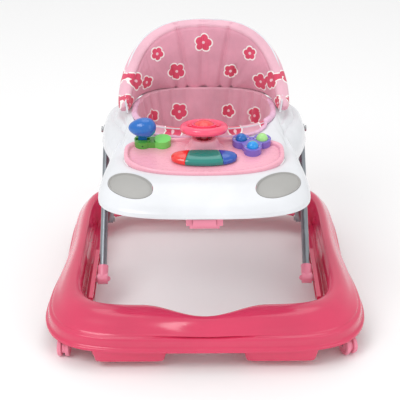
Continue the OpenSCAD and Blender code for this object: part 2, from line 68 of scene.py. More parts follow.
def hump(x, at, half):
    return math.exp(-(((x - at) / half) ** 2))


def cosd(a):
    return math.cos(math.radians(a))


def sind(a):
    return math.sin(math.radians(a))


def spline(points, per_span):
    """Catmull-Rom curve through the points, per_span points to a span."""
    p = [np.array(q, float) for q in points]
    n = len(p)
    out = []
    for i in range(n - 1):
        a, b, c, d = p[max(i - 1, 0)], p[i], p[i + 1], p[min(i + 2, n - 1)]
        for k in range(per_span):
            t = k / per_span
            out.append(0.5 * (2 * b + (c - a) * t + (2 * a - 5 * b + 4 * c - d) * t * t
                              + (3 * b - a - 3 * c + d) * t ** 3))
    out.append(p[-1])
    return out


# ---------------------------------------------------------------- meshes
def new_piece(name, verts, faces, material, body, slot, nodes=(), angle=35):
    mesh = bpy.data.meshes.new(name)
    mesh.from_pydata([tuple(v) for v in verts], [], [tuple(f) for f in faces])
    obj = bpy.data.objects.new(name, mesh)
    bpy.context.scene.collection.objects.link(obj)
    dress(obj, material, body, nodes, angle)
    return obj


def dress(obj, material, body, nodes=(), angle=35):
    """Outward normals, smooth shading with sharp edges kept, a material and a body to ride on."""
    tidy_normals(obj, angle)
    obj.data.materials.clear()
    obj.data.materials.append(material)
    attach(obj, body)
    if nodes:
        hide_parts(*nodes)


def tidy_normals(obj, angle=35):
    bm = bmesh.new()
    bm.from_mesh(obj.data)
    bmesh.ops.recalc_face_normals(bm, faces=bm.faces)
    limit = math.radians(angle)
    for e in bm.edges:
        e.smooth = len(e.link_faces) != 2 or e.calc_face_angle(0) < limit
    for f in bm.faces:
        f.smooth = True
    bm.to_mesh(obj.data)
    bm.free()


def sweep(rings, closed=True):
    """Vertices and faces of a tube through rings of equal length, capped where it has ends."""
    n, m = len(rings), len(rings[0])
    verts = [v for r in rings for v in r]
    faces = []
    for i in range(n if closed else n - 1):
        a, b = i * m, ((i + 1) % n) * m
        for j in range(m):
            k = (j + 1) % m
            faces.append((a + j, b + j, b + k, a + k))
    if not closed:
        faces.append(tuple(range(m)))
        faces.append(tuple((n - 1) * m + j for j in reversed(range(m))))
    return verts, faces


def lathe(profile, segments=64):
    """Vertices and faces of a body turned about Z from (radius, height) points, closed at its axis."""
    rings = []
    for r, z in profile:
        angles = [360 * k / segments for k in range(segments)]
        rings.append([(r * cosd(a), r * sind(a), z) for a in angles])
    return sweep(rings, closed=False)


def moved(verts, matrix):
    return [tuple(matrix @ Vector(v)) for v in verts]


def add_bevel(obj, width):
    bevel = obj.modifiers.new("bevel", "BEVEL")
    bevel.width = width
    bevel.segments = 3
    bevel.limit_method = "ANGLE"
    bevel.angle_limit = math.radians(30)
    bevel.harden_normals = False


def apply_modifiers(obj):
    graph = bpy.context.evaluated_depsgraph_get()
    mesh = bpy.data.meshes.new_from_object(obj.evaluated_get(graph))
    old = obj.data
    obj.modifiers.clear()
    obj.data = mesh
    bpy.data.meshes.remove(old)


def cut(obj, tool_verts, tool_faces):
    """Takes the closed tool shape out of obj."""
    mesh = bpy.data.meshes.new("tool")
    mesh.from_pydata([tuple(v) for v in tool_verts], [], [tuple(f) for f in tool_faces])
    tool = bpy.data.objects.new("tool", mesh)
    bpy.context.scene.collection.objects.link(tool)
    tidy_normals(tool)
    boolean = obj.modifiers.new("cut", "BOOLEAN")
    boolean.operation = "DIFFERENCE"
    boolean.solver = "EXACT"
    boolean.object = tool
    apply_modifiers(obj)
    bpy.data.objects.remove(tool)
    bpy.data.meshes.remove(mesh)


# ---------------------------------------------------------------- node helpers
class Nodes:
    """A short way to write a material's node tree."""

    def __init__(self, name):
        self.material = bpy.data.materials.get(name) or bpy.data.materials.new(name)
        self.material.use_nodes = True
        self.tree = self.material.node_tree
        self.shader = self.tree.nodes["Principled BSDF"]
        self.coords = self.add("ShaderNodeTexCoord").outputs["Object"]

    def add(self, kind, **settings):
        node = self.tree.nodes.new(kind)
        for key, value in settings.items():
            setattr(node, key, value)
        return node

    def link(self, a, b):
        self.tree.links.new(a, b)

    def value(self, socket, v):
        if hasattr(v, "is_output"):
            self.link(v, socket)
        else:
            socket.default_value = v

    def math(self, op, a, b=0.0, clamp=False):
        node = self.add("ShaderNodeMath", operation=op, use_clamp=clamp)
        self.value(node.inputs[0], a)
        self.value(node.inputs[1], b)
        return node.outputs[0]

    def noise(self, scale, detail=3.0, roughness=0.55, stretch=None):
        node = self.add("ShaderNodeTexNoise")
        node.inputs["Scale"].default_value = scale
        node.inputs["Detail"].default_value = detail
        node.inputs["Roughness"].default_value = roughness
        source = self.coords
        if stretch:
            mapping = self.add("ShaderNodeMapping")
            mapping.inputs["Scale"].default_value = stretch
            self.link(source, mapping.inputs["Vector"])
            source = mapping.outputs[0]
        self.link(source, node.inputs["Vector"])
        return node.outputs["Fac"]

    def range(self, value, a, b, to_a, to_b):
        node = self.add("ShaderNodeMapRange")
        self.link(value, node.inputs["Value"])
        for key, v in zip(("From Min", "From Max", "To Min", "To Max"), (a, b, to_a, to_b)):
            node.inputs[key].default_value = v
        return node.outputs[0]

    def blend(self, factor, a, b):
        node = self.add("ShaderNodeMix", data_type="RGBA")
        self.value(node.inputs["Factor"], factor)
        self.value(node.inputs["A"], a)
        self.value(node.inputs["B"], b)
        return node.outputs["Result"]

    def bump(self, height, strength, distance, normal=None):
        node = self.add("ShaderNodeBump")
        node.inputs["Strength"].default_value = strength
        node.inputs["Distance"].default_value = distance
        self.link(height, node.inputs["Height"])
        if normal:
            self.link(normal, node.inputs["Normal"])
        return node.outputs[0]


def rgba(hex_code, gain=1.0):
    """Linear colour from an sRGB hex code."""
    out = []
    for k in (0, 2, 4):
        c = int(hex_code[k:k + 2], 16) / 255
        out.append(min(1.0, gain * (c / 12.92 if c <= 0.04045 else ((c + 0.055) / 1.055) ** 2.4)))
    return (*out, 1.0)


# How deep the orange peel is, and how far the colour drifts.
GRAIN = 0.02
MOTTLE = 0.03


def plastic(name, colour, rough=0.3, coat=0.25):
    """Moulded plastic: faint flow mottling, fine orange peel, and scuffs that dull the gloss."""
    n = Nodes(name)
    s = n.shader
    base = rgba(colour)
    dark = tuple(c * (1 - 2 * MOTTLE) for c in base[:3]) + (1.0,)
    light = tuple(min(1.0, c * (1 + MOTTLE)) for c in base[:3]) + (1.0,)
    cloud = n.noise(9.0, 4.0)
    n.link(n.blend(n.range(cloud, 0.35, 0.65, 0.0, 1.0), dark, light), s.inputs["Base Color"])
    scuff = n.noise(70.0, 6.0, 0.7, stretch=(1.0, 2.5, 1.0))
    n.link(n.range(scuff, 0.35, 0.75, rough * 0.92, rough * 1.15), s.inputs["Roughness"])
    peel = n.noise(420.0, 2.0)
    ripple = n.noise(28.0, 1.0)
    height = n.math("ADD", n.math("MULTIPLY", peel, 0.35), ripple)
    n.link(n.bump(height, GRAIN, 0.0012), s.inputs["Normal"])
    s.inputs["IOR"].default_value = 1.49
    s.inputs["Coat Weight"].default_value = coat
    s.inputs["Coat Roughness"].default_value = 0.12
    return n.material


def metal(name, colour, rough=0.3):
    """Drawn steel: fine lengthwise lines, cloudy tarnish and uneven gloss."""
    n = Nodes(name)
    s = n.shader
    base = rgba(colour)
    dark = tuple(c * 0.72 for c in base[:3]) + (1.0,)
    cloud = n.noise(14.0, 5.0)
    n.link(n.blend(n.range(cloud, 0.3, 0.7, 0.0, 1.0), dark, base), s.inputs["Base Color"])
    lines = n.noise(320.0, 3.0, 0.6, stretch=(1.0, 1.0, 14.0))
    n.link(n.range(lines, 0.3, 0.7, rough * 0.75, rough * 1.3), s.inputs["Roughness"])
    n.link(n.bump(lines, 0.12, 0.0004), s.inputs["Normal"])
    s.inputs["Metallic"].default_value = 1.0
    return n.material


def split_plastic(name, colours, axis, at, soft=0.0006, rough=0.22, coat=0.5):
    """Two-colour moulded plastic: the first colour below at on that axis, the second above it."""
    plastic(name, colours[0], rough, coat)
    n = Nodes(name)
    s = n.shader
    first = s.inputs["Base Color"].links[0].from_socket
    apart = n.add("ShaderNodeSeparateXYZ")
    n.link(n.coords, apart.inputs[0])
    side = n.range(apart.outputs["XYZ".index(axis)], at - soft, at + soft, 0.0, 1.0)
    cloud = n.range(n.noise(9.0, 4.0), 0.35, 0.65, 0.0, 1.0)
    second = n.blend(cloud, rgba(colours[1], 0.9), rgba(colours[1]))
    n.link(n.blend(side, first, second), s.inputs["Base Color"])
    return n.material


def print_cotton(name, panel, band):
    """Printed cotton: panel colour, an edge band painted lighter as light on the pad's upward-facing top,
    five-petal flowers, plain weave with painted highlights on the thread crests, soft creases.
    """
    n = Nodes(name)
    s = n.shader
    cloth = n.add("ShaderNodeAttribute", attribute_name="cloth").outputs["Vector"]
    marks = n.add("ShaderNodeSeparateXYZ")
    n.link(n.add("ShaderNodeAttribute", attribute_name="print").outputs["Vector"], marks.inputs[0])
    petal, middle, edge = marks.outputs
    fade = n.range(n.noise(16.0, 5.0), 0.3, 0.7, 0.0, 1.0)
    ground = n.blend(fade, rgba(panel, 0.86), rgba(panel, 1.08))
    # The band colour is the panel colour painted lighter: painted light on the pad's upward-facing top band.
    trim = n.blend(fade, rgba(band, 0.92), rgba(band, 1.06))
    ground = n.blend(n.range(edge, -0.001, 0.001, 0.0, 1.0), ground, trim)
    ground = n.blend(n.range(petal, 0.0030, 0.0040, 1.0, 0.0), ground, rgba("F4F0EC"))
    ink = n.blend(fade, rgba("C92A50"), rgba("E4416A"))
    ground = n.blend(n.range(petal, 0.0, 0.0008, 1.0, 0.0), ground, ink)
    ground = n.blend(n.range(middle, 0.0030, 0.0038, 1.0, 0.0), ground, rgba("F0C8D0"))
    threads = []
    for direction in "XY":
        wave = n.add("ShaderNodeTexWave", wave_type="BANDS", bands_direction=direction)
        wave.inputs["Scale"].default_value = THREAD_SCALE
        wave.inputs["Distortion"].default_value = 0.6
        n.link(cloth, wave.inputs["Vector"])
        threads.append(wave.outputs["Fac"])
    weave = n.math("MULTIPLY", threads[0], threads[1])
    # Up to a tenth white where the weave is highest: painted highlight on the thread crests.
    n.link(n.blend(n.range(weave, 0.0, 1.0, 0.0, 0.10), ground, rgba("FFFFFF")), s.inputs["Base Color"])
    creases = n.bump(n.noise(34.0, 4.0, 0.6, stretch=(1.0, 1.0, 0.45)), 0.35, 0.006)
    n.link(n.bump(weave, 0.35, 0.0004, creases), s.inputs["Normal"])
    n.link(n.range(weave, 0.0, 1.0, 0.92, 0.74), s.inputs["Roughness"])
    s.inputs["Sheen Weight"].default_value = 0.35
    s.inputs["Sheen Roughness"].default_value = 0.5
    return n.material


def satin(name, colour):
    """Satin binding: fine gathers across the strip, painted darker in their hollows and lighter on their
    crests as shade and light, and a soft lengthwise shine.
    """
    n = Nodes(name)
    s = n.shader
    gathers = n.noise(95.0, 3.0, 0.5, stretch=(1.0, 1.0, 0.25))
    # Colour follows the gathers' height: painted shade in the hollows, painted highlight on the crests.
    n.link(n.blend(n.range(gathers, 0.3, 0.7, 0.0, 1.0), rgba(colour, 0.82), rgba(colour, 1.06)),
           s.inputs["Base Color"])
    n.link(n.range(gathers, 0.3, 0.7, 0.34, 0.52), s.inputs["Roughness"])
    n.link(n.bump(gathers, 0.45, 0.0016), s.inputs["Normal"])
    s.inputs["Sheen Weight"].default_value = 0.25
    return n.material


# ---------------------------------------------------------------- base
BASE_LO, BASE_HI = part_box("base_shell")
BASE_L = BASE_HI[1] - BASE_LO[1]
BASE_Z = BASE_LO[2]
BASE_TOP = BASE_HI[2]
FRONT_HW, REAR_HW = 0.347, 0.316
OPEN_HW, OPEN_HL, OPEN_Y = 0.268, 0.266, 0.012


def reach(s, n):
    return (abs(cosd(s)) ** n + abs(sind(s)) ** n) ** (-1 / n)


def base_outer(s):
    r = reach(s, 5)
    y = BASE_L / 2 * r * sind(s)
    return np.array([mix(FRONT_HW, REAR_HW, smooth((y + 0.26) / 0.32)) * r * cosd(s), y])


def base_inner(s):
    r = reach(s, 7)
    x = OPEN_HW * r * cosd(s)
    y = OPEN_Y + OPEN_HL * r * sind(s)
    if y < 0 and abs(x) < 0.13:
        y -= 0.024 * (1 + cosd(x / 0.13 * 180))
    return np.array([x, y])


def base_profile(w):
    """Outside of the base from its flange over the top to the inner ledge: distance inwards and height."""
    b, t = BASE_Z, BASE_TOP
    skirt = [(0.006, b + 0.0085), (0.0075, b + 0.013), (0.0085, b + 0.021), (0.0105, b + 0.0262),
             (0.0135, b + 0.0278), (0.018, b + 0.0295), (0.2 * w, t - 0.0275), (0.34 * w, t - 0.0195),
             (0.5 * w, t - 0.0085), (0.65 * w, t - 0.0018), (0.8 * w, t), (0.93 * w, t - 0.0022),
             (w - 0.001, t - 0.0075), (w + 0.0035, t - 0.0165), (w + 0.006, t - 0.028),
             (w + 0.0085, b + 0.02), (w + 0.0105, b + 0.0105)]
    curve = [tuple(p) for p in spline(skirt, 3)]
    flange = [(0.0, b), (0.0, b + 0.0045), (0.0012, b + 0.0062), (0.003, b + 0.0068)]
    ledge = [(w + 0.014, b + 0.0085), (w + 0.022, b + 0.0075), (w + 0.024, b + 0.006), (w + 0.024, b)]
    inside = [(w + 0.007, b), (w + 0.001, t - 0.018), (w - 0.006, t - 0.0105),
              (0.8 * w, t - 0.003), (0.5 * w, t - 0.0118), (0.3 * w, t - 0.0255),
              (0.016, b + 0.024), (0.011, b + 0.019), (0.009, b)]
    return flange + curve + ledge + inside


def across(a, b, d, z):
    u = d / np.linalg.norm(b - a)
    p = a + (b - a) * u
    return (p[0], p[1], z)


def make_base(material):
    count = 288
    rings = []
    for k in range(count):
        s = 360 * k / count
        a, b = base_outer(s), base_inner(s)
        rings.append([across(a, b, d, z) for d, z in base_profile(np.linalg.norm(b - a))])
    return new_piece("base_ring", *sweep(rings), material, "base", "base_pink", ("base_shell",), angle=50)


# ---------------------------------------------------------------- tray
TRAY_LO, TRAY_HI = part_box("tray_shell")
TRAY_FRONT, TRAY_REAR = TRAY_LO[1], TRAY_HI[1]
BUMPER_HW = 0.218
NOSE_L, TAIL_L = 0.120, 0.118
TRAY_WALL = 0.003
HOLE_HW, SEAT_Y, SEAT_HL = 0.160, 0.101, 0.113
SHOULDER_H = 0.047
PANEL = Matrix.Translation((0, -0.105, 0.371)) @ Matrix.Rotation(math.radians(7.2), 4, "X")
PANEL_HW = 0.169


def tray_hw(y):
    waist = 0.012 * hump(y, 0.105, 0.075) - 0.018 * hump(y, -0.045, 0.060) - 0.002
    return BUMPER_HW + smooth((y - TRAY_FRONT - NOSE_L) / 0.04) * waist


def tray_station(u):
    """Outline point and hole point at u, 0 to 1, from the bumper's right rear corner round the front."""
    front, side, rear = 28 / 68, 11 / 68, 18 / 68
    if u < front:
        v = u / front
        p = (BUMPER_HW * power(-cosd(180 * v), 3.1), TRAY_FRONT + NOSE_L * (1 - power(sind(180 * v), 3.1)))
        s = 205 + 130 * v
    elif u < front + side:
        v = (u - front) / side
        y = mix(TRAY_FRONT + NOSE_L, TRAY_REAR - TAIL_L, v)
        p = (tray_hw(y), y)
        s = 335 + 45 * v
    elif u < front + side + rear:
        v = (u - front - side) / rear
        p = (tray_hw(TRAY_REAR - TAIL_L) * power(cosd(180 * v), 3.4),
             TRAY_REAR - TAIL_L * (1 - power(sind(180 * v), 3.4)))
        s = 20 + 140 * v
    else:
        v = (u - front - side - rear) / side
        y = mix(TRAY_REAR - TAIL_L, TRAY_FRONT + NOSE_L, v)
        p = (-tray_hw(y), y)
        s = 160 + 45 * v
    return np.array(p), np.array(hole(s, 0.0))


def hole(s, grow):
    return ((HOLE_HW + grow) * power(cosd(s), 2.6), SEAT_Y + (SEAT_HL + grow) * power(sind(s), 2.6))


def tray_profile(a, b):
    """Section of the tray from its lip over the deck to the seat hole, then back underneath."""
    w = np.linalg.norm(b - a)
    wide = smooth((w - 0.070) / 0.110)
    r = min(0.6 * w, mix(0.026, 0.120, wide))
    p = mix(1.0, 1.6, wide)
    z = 0.314 + 0.004 * smooth((a[1] + 0.16) / 0.08)
    s = z + SHOULDER_H
    e = mix(0.380, 0.389, smooth((b[1] + 0.02) / 0.1))
    ridge = 0.0035 * (1 - wide) * smooth((a[1] + 0.09) / 0.05)

    def deck(t):
        rolled = []
        for k in range(0, 91, 6):
            up = 0.009 + (SHOULDER_H - 0.009 - t) * sind(k) ** p
            rolled.append((t + (r - t) * (1 - cosd(k)), z + up))
        top = []
        for k in range(1, 13):
            u = k / 12
            wave = ridge * (math.sin(math.pi * 3 * u) if u < 0.67 else 0.0)
            wave = wave - 0.003 * wide * hump(u, 0.13, 0.08)
            top.append((mix(r, w - 0.003, u), mix(s, e, u ** 0.85) - t + wave))
        return rolled + top

    bead = [(0.0025, z), (-0.0012, z + 0.0006), (-0.0016, z + 0.0035), (-0.0004, z + 0.006)]
    rim = [(w - 0.001, e - 0.0006), (w, e - 0.003), (w, e - 0.012), (w - TRAY_WALL, e - 0.012)]
    under = deck(TRAY_WALL)[::-1]
    return bead + deck(0.0) + rim + under


def panel_point(s, k):
    v = (0.062 - k) * power(sind(s), 4.5) if sind(s) > 0 else (0.082 - k) * power(sind(s), 2.2)
    return (PANEL_HW - k) * power(cosd(s), 2.6), 0.008 + v


def panel_prism(k, lo, hi, count=120):
    """A closed D-shaped block in the panel's own frame."""
    rings = []
    for z in (lo, hi):
        rings.append([(*panel_point(360 * i / count, k), z) for i in range(count)])
    verts, faces = sweep(rings, closed=False)
    return moved(verts, PANEL), faces


LAMP_XY = (-0.151, -0.203)
LAMP_TURN = -40
MIRROR = Matrix.Scale(-1, 4, (1, 0, 0))
LAMP_L, LAMP_W = 0.0545, 0.0335


def lamp_ring(inset, z, count=72):
    ring = []
    for k in range(count):
        a = 360 * k / count
        ring.append(((LAMP_L - inset) * power(cosd(a), 2.15), (LAMP_W - inset) * power(sind(a), 1.85), z))
    return ring


def lamp_frame(tree):
    """Frame of the left headlight: on the bumper, its Z along the surface's normal."""
    point, normal = tree.ray_cast(Vector((*LAMP_XY, 0.5)), Vector((0, 0, -1)))[:2]
    z = normal if normal.z > 0 else -normal
    x = Vector((cosd(LAMP_TURN), sind(LAMP_TURN), 0))
    x = (x - z * x.dot(z)).normalized()
    y = z.cross(x)
    turn = Matrix((x, y, z)).transposed().to_4x4()
    return Matrix.Translation(point) @ turn


def on_surface(tree, place, ring):
    """Drops a ring's points along the frame's Z onto the bumper, and keeps their height above it."""
    down = -(place.to_3x3() @ Vector((0, 0, 1)))
    out = []
    for x, y, z in ring:
        start = place @ Vector((x, y, 0.04))
        hit = tree.ray_cast(start, down, 0.08)[0] or place @ Vector((x, y, 0))
        out.append(tuple(hit - down * z))
    return out


def make_tray(material):
    """Moulded tray with a hole for the toy panel and two for the headlights."""
    count = 272
    rings = []
    for k in range(count):
        a, b = tray_station(k / count)
        rings.append([across(a, b, d, z) for d, z in tray_profile(a, b)])
    verts, faces = sweep(rings)
    tree = BVHTree.FromPolygons(verts, faces)
    place = lamp_frame(tree)
    tray = new_piece("tray_shell_moulded", verts, faces, material, "tray", "tray_white", ("tray_shell",), 40)
    cut(tray, *panel_prism(0.0, -0.03, 0.03))
    for side in (Matrix.Identity(4), MIRROR):
        verts, faces = sweep([lamp_ring(0.0, -0.03), lamp_ring(-0.0015, 0.03)], closed=False)
        cut(tray, moved(verts, side @ place), faces)
    tidy_normals(tray, 32)
    return tree, place


# ---------------------------------------------------------------- headlights and toy panel
def make_lamps(material, tree, place):
    """Recessed silver dishes with a raised rim, shaped to the bumper."""
    steps = [(0.0003, -0.0075), (0.0003, 0.0002), (0.0010, 0.0010), (0.0022, 0.0008), (0.0031, -0.0010),
             (0.0042, -0.0024), (0.008, -0.0030), (0.014, -0.0032), (0.022, -0.0033), (0.031, -0.0034)]
    rings = [on_surface(tree, place, lamp_ring(inset, z, 96)) for inset, z in steps]
    verts, faces = sweep(rings, closed=False)
    new_piece("headlight_left", verts, faces, material, "tray", "lamp_silver", ("headlights",), 30)
    new_piece("headlight_right", moved(verts, MIRROR), faces, material, "tray", "lamp_silver", (), 30)


def make_panel(material):
    """D-shaped panel: a soft outer rim, a stepped recess and a pedestal under the steering column."""
    steps = [(0.0006, -0.006), (0.0006, 0.0008), (0.0012, 0.0028), (0.0026, 0.0042), (0.0050, 0.0048),
             (0.0078, 0.0045), (0.0098, 0.0034), (0.0108, 0.0012), (0.0114, -0.0018), (0.0132, -0.0027),
             (0.0150, -0.0030), (0.024, -0.0031), (0.036, -0.0031), (0.052, -0.0030)]
    rings = []
    for inset, z in steps:
        rings.append([(*panel_point(360 * i / 180, inset), z) for i in range(180)])
    verts, faces = sweep(rings, closed=False)
    new_piece("toy_panel_dish", moved(verts, PANEL), faces, material,
              "tray", "panel_pink", ("toy_panel",), 40)
    foot = [(0.034, -0.0035), (0.0325, -0.0022), (0.028, 0.0024), (0.0250, 0.0100),
            (0.0225, 0.0165), (0.0195, 0.0200), (0.0145, 0.0206), (0.0135, 0.0190), (0.0125, 0.012)]
    curve = spline([(r, z, 0) for r, z in foot], 4)
    rings = [(r, z) for r, z, _ in curve]
    verts, faces = lathe(rings, 96)
    stretch = PANEL @ Matrix.Translation((0, 0.040, 0)) @ Matrix.Diagonal((1.25, 0.95, 1.0, 1.0))
    new_piece("steering_pedestal", moved(verts, stretch), faces, material, "tray", "panel_pink", (), 40)


# ---------------------------------------------------------------- CAD nodes that keep their shape
def dress_node(node, material, bevel=0.0):
    obj = frame["nodes"][node]
    obj.data.materials.clear()
    obj.data.materials.append(material)
    if bevel:
        add_bevel(obj, bevel)


# ---------------------------------------------------------------- camera, light and floor
SENSOR_MM = 36.0
LENS_MM = 110.7
CAMERA_AT = (-0.002, -2.440, 1.457)
CAMERA_DOWN = 27
CAMERA_ROLL = 0.35
FLOOR_HALF = 14


def make_camera():
    data = bpy.data.cameras.new("camera")
    data.sensor_width = SENSOR_MM
    data.lens = LENS_MM
    data.clip_end = 20
    cam = bpy.data.objects.new("camera", data)
    cam.location = CAMERA_AT
    cam.rotation_euler = (math.radians(90 - CAMERA_DOWN), math.radians(CAMERA_ROLL), 0)
    bpy.context.scene.collection.objects.link(cam)
    bpy.context.scene.camera = cam


def area_light(name, place, aim, size, energy, colour=(1, 1, 1)):
    data = bpy.data.lights.new(name, "AREA")
    data.shape = "DISK"
    data.size = size
    data.energy = energy
    data.color = colour
    lamp = bpy.data.objects.new(name, data)
    lamp.location = place
    lamp.rotation_euler = (Vector(aim) - Vector(place)).to_track_quat("-Z", "Y").to_euler()
    bpy.context.scene.collection.objects.link(lamp)


def make_studio():
    world = bpy.data.worlds.new("studio")
    world.use_nodes = True
    world.node_tree.nodes["Background"].inputs["Color"].default_value = (1, 1, 1, 1)
    world.node_tree.nodes["Background"].inputs["Strength"].default_value = 0.80
    bpy.context.scene.world = world
    area_light("key", (-1.5, -1.6, 2.6), (0, 0, 0.25), 1.6, 27)
    area_light("fill", (1.9, -1.7, 1.5), (0, 0, 0.3), 2.0, 8)
    area_light("top", (0, 0.8, 3.0), (0, 0, 0.2), 2.2, 13)
    bpy.context.scene.view_settings.view_transform = "Standard"
    mesh = bpy.data.meshes.new("floor")
    h = FLOOR_HALF
    mesh.from_pydata([(-h, -h, 0), (h, -h, 0), (h, h, 0), (-h, h, 0)], [], [(0, 1, 2, 3)])
    floor = bpy.data.objects.new("floor", mesh)
    bpy.context.scene.collection.objects.link(floor)
    n = Nodes("floor")
    n.shader.inputs["Base Color"].default_value = (0.97, 0.97, 0.97, 1)
    n.shader.inputs["Roughness"].default_value = 0.9
    mesh.materials.append(n.material)


# ---------------------------------------------------------------- seat cloth
SEAT_N = 2.6
THREAD_SCALE = 2 * math.pi / (20 * 0.0014)
RIM_Z = 0.388
FOLD_RISE = 0.012
BACK_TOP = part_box("backrest_cushion")[1][2]
BACK_DROP = 0.135
BACK_DEEP = 0.024
BOWL_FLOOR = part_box("seat_bowl")[0][2]
LEG_HOLE = (0.060, 0.060, 0.262)
LEG_HOLE_R = 0.044
# A fan of five pleats, narrower at the fold than at the top: upper angle, lower angle, share of the height.
PLEATS = [(90 + 15 * k, 90 + 9 * k, 1.0 if abs(k) < 2 else 0.35) for k in range(-2, 3)]
CHANNELS = range(30, 160, 14)
# The print: rows of flowers at one spacing round the seat, large and small by turns.
FLOWER_STEP = 36
FLOWER_R = 0.0165
PAD_ROWS = (0.28, 0.68)
BOWL_ROWS = (0.75, 0.45, 0.15)
ARM_FLARE = 0.012
# The pad lies between these depths either side of the backrest's slope, and stands a little above the board.
PAD_IN, PAD_OUT = -0.0215, 0.0135
PAD_LOW = 0.385
PAD_ABOVE_BOARD = 0.006
PAD_PRINT_LOW = 0.400
BOWL_PRINT_LOW = 0.230
FLAP_PRINT_Z = 0.385
FLAP_GROW = 0.008


def flower_rows(shares, low, top_at):
    """Angle round the seat, height and radius of each flower. Every second row moves along by half a step."""
    flowers = []
    for row, share in enumerate(shares):
        for column in range(360 // FLOWER_STEP):
            s = FLOWER_STEP * (column + row / 2)
            radius = FLOWER_R * (1.12 if (column + row) % 2 else 0.86)
            flowers.append((s, mix(low, top_at(s), share), radius))
    return flowers


def back_top(s):
    return BACK_TOP - BACK_DROP * (1 - max(sind(s), 0.0))


def lean(z):
    return 0.008 + 0.13 * (z - 0.392)


def pad_lean(s, z):
    """How far out the pad sits. Its two arms flare outwards near their lower corners."""
    arm = np.clip(1 - np.sin(np.radians(s)), 0, 1)
    return lean(z) + ARM_FLARE * arm * np.clip((0.50 - z) / 0.10, 0, 1)


def pad_front(s, z):
    return pad_lean(s, z) - BACK_DEEP


def pad_rear(s, z):
    return pad_lean(s, z) + 0.016


def seat_point(s, grow, z):
    return Vector((*hole(s, grow), z))


def seat_frame(points):
    """Angle round the seat, distance outside the hole's outline and height of each point."""
    p = np.array(points)
    x, y = p[:, 0], p[:, 1] - SEAT_Y
    lo, hi = np.full(len(p), -0.10), np.full(len(p), 0.12)
    for _ in range(30):
        g = (lo + hi) / 2
        out = np.abs(x / (HOLE_HW + g)) ** SEAT_N + np.abs(y / (SEAT_HL + g)) ** SEAT_N > 1
        lo, hi = np.where(out, g, lo), np.where(out, hi, g)
    c = np.sign(x) * np.abs(x / (HOLE_HW + g)) ** (SEAT_N / 2)
    n = np.sign(y) * np.abs(y / (SEAT_HL + g)) ** (SEAT_N / 2)
    return np.degrees(np.arctan2(n, c)) % 360, g, p[:, 2]


def get_points(obj):
    p = np.empty(len(obj.data.vertices) * 3)
    obj.data.vertices.foreach_get("co", p)
    return p.reshape(-1, 3)


def set_points(obj, p):
    obj.data.vertices.foreach_set("co", np.asarray(p, float).ravel())
    obj.data.update()


def mark_cloth(obj, flowers, sides, edge):
    """Writes the weave's coordinates and the flower print as attributes that the cotton reads."""
    p = get_points(obj)
    s, _, z = seat_frame(p)
    petal, middle = np.full(len(p), 1.0), np.full(len(p), 1.0)
    for k, ((angle, h, r), grow) in enumerate((flower, side) for side in sides for flower in flowers):
        at = np.array(seat_point(angle, grow(angle, h), h))
        after = np.array(seat_point(angle + 1, grow(angle, h), h))
        along = after - np.array(seat_point(angle - 1, grow(angle, h), h))
        along /= np.linalg.norm(along)
        u, v = (p - at) @ along, z - h
        far = np.linalg.norm(p - at, axis=1)
        turn = np.arctan2(v, u) + 0.9 * k
        shape = r * (0.60 + 0.40 * np.abs(np.cos(2.5 * turn)) ** 0.45)
        d = np.where(far < 1.5 * r, np.hypot(u, v) - shape, 1.0)
        middle = np.where(d < petal, np.hypot(u, v), middle)
        petal = np.minimum(petal, d)
    arc = np.radians(s) * (HOLE_HW + SEAT_HL) / 2
    for name, columns in (("cloth", (arc, z, 0 * z)), ("print", (petal, middle, edge(s, z)))):
        layer = obj.data.attributes.new(name, "FLOAT_VECTOR", "POINT")
        layer.data.foreach_set("vector", np.column_stack(columns).ravel())


def groove(s, z, lines, lift):
    """How near each point is to a sewn line, 1 on it. lift gives 0 at the lower end and 1 at the top."""
    near = np.zeros(len(s))
    for top, low, run in lines:
        u = lift(s, z)
        at = low + (top - low) * np.clip(u, 0, 1)
        fade = np.clip((run + 0.05 - u) / 0.1, 0, 1)
        near = np.maximum(near, fade * np.exp(-(((s - at) * 0.0026) / 0.0042) ** 2))
    return near


def puff(obj, pinned, pressure, cap):
    """Blows the closed cloth up from its seams, which stay pinned. No point moves more than cap."""
    rest = get_points(obj)
    group = obj.vertex_groups.new(name="seams")
    group.add([int(i) for i in np.nonzero(pinned)[0]], 1.0, "REPLACE")
    cloth = obj.modifiers.new("cloth", "CLOTH")
    cloth.settings.quality = 5
    cloth.settings.mass = 0.3
    cloth.settings.use_pressure = True
    cloth.settings.uniform_pressure_force = pressure
    cloth.settings.effector_weights.gravity = 0
    cloth.settings.vertex_group_mass = "seams"
    for k in range(1, 21):
        bpy.context.scene.frame_set(k)
    apply_modifiers(obj)
    bpy.context.scene.frame_set(1)
    obj.vertex_groups.clear()
    step = get_points(obj) - rest
    length = np.linalg.norm(step, axis=1, keepdims=True)
    set_points(obj, rest + step * np.minimum(1.0, cap / np.maximum(length, 1e-9)))


def soften(obj, voxel):
    remesh = obj.modifiers.new("remesh", "REMESH")
    remesh.mode = "VOXEL"
    remesh.voxel_size = voxel
    apply_modifiers(obj)


def subdivide(obj):
    obj.modifiers.new("finer", "SUBSURF").levels = 1
    apply_modifiers(obj)


def push_in(obj, depth):
    """Moves each point along its normal by depth, a list of distances inwards."""
    normals = np.array([v.normal for v in obj.data.vertices])
    set_points(obj, get_points(obj) - normals * np.asarray(depth)[:, None])


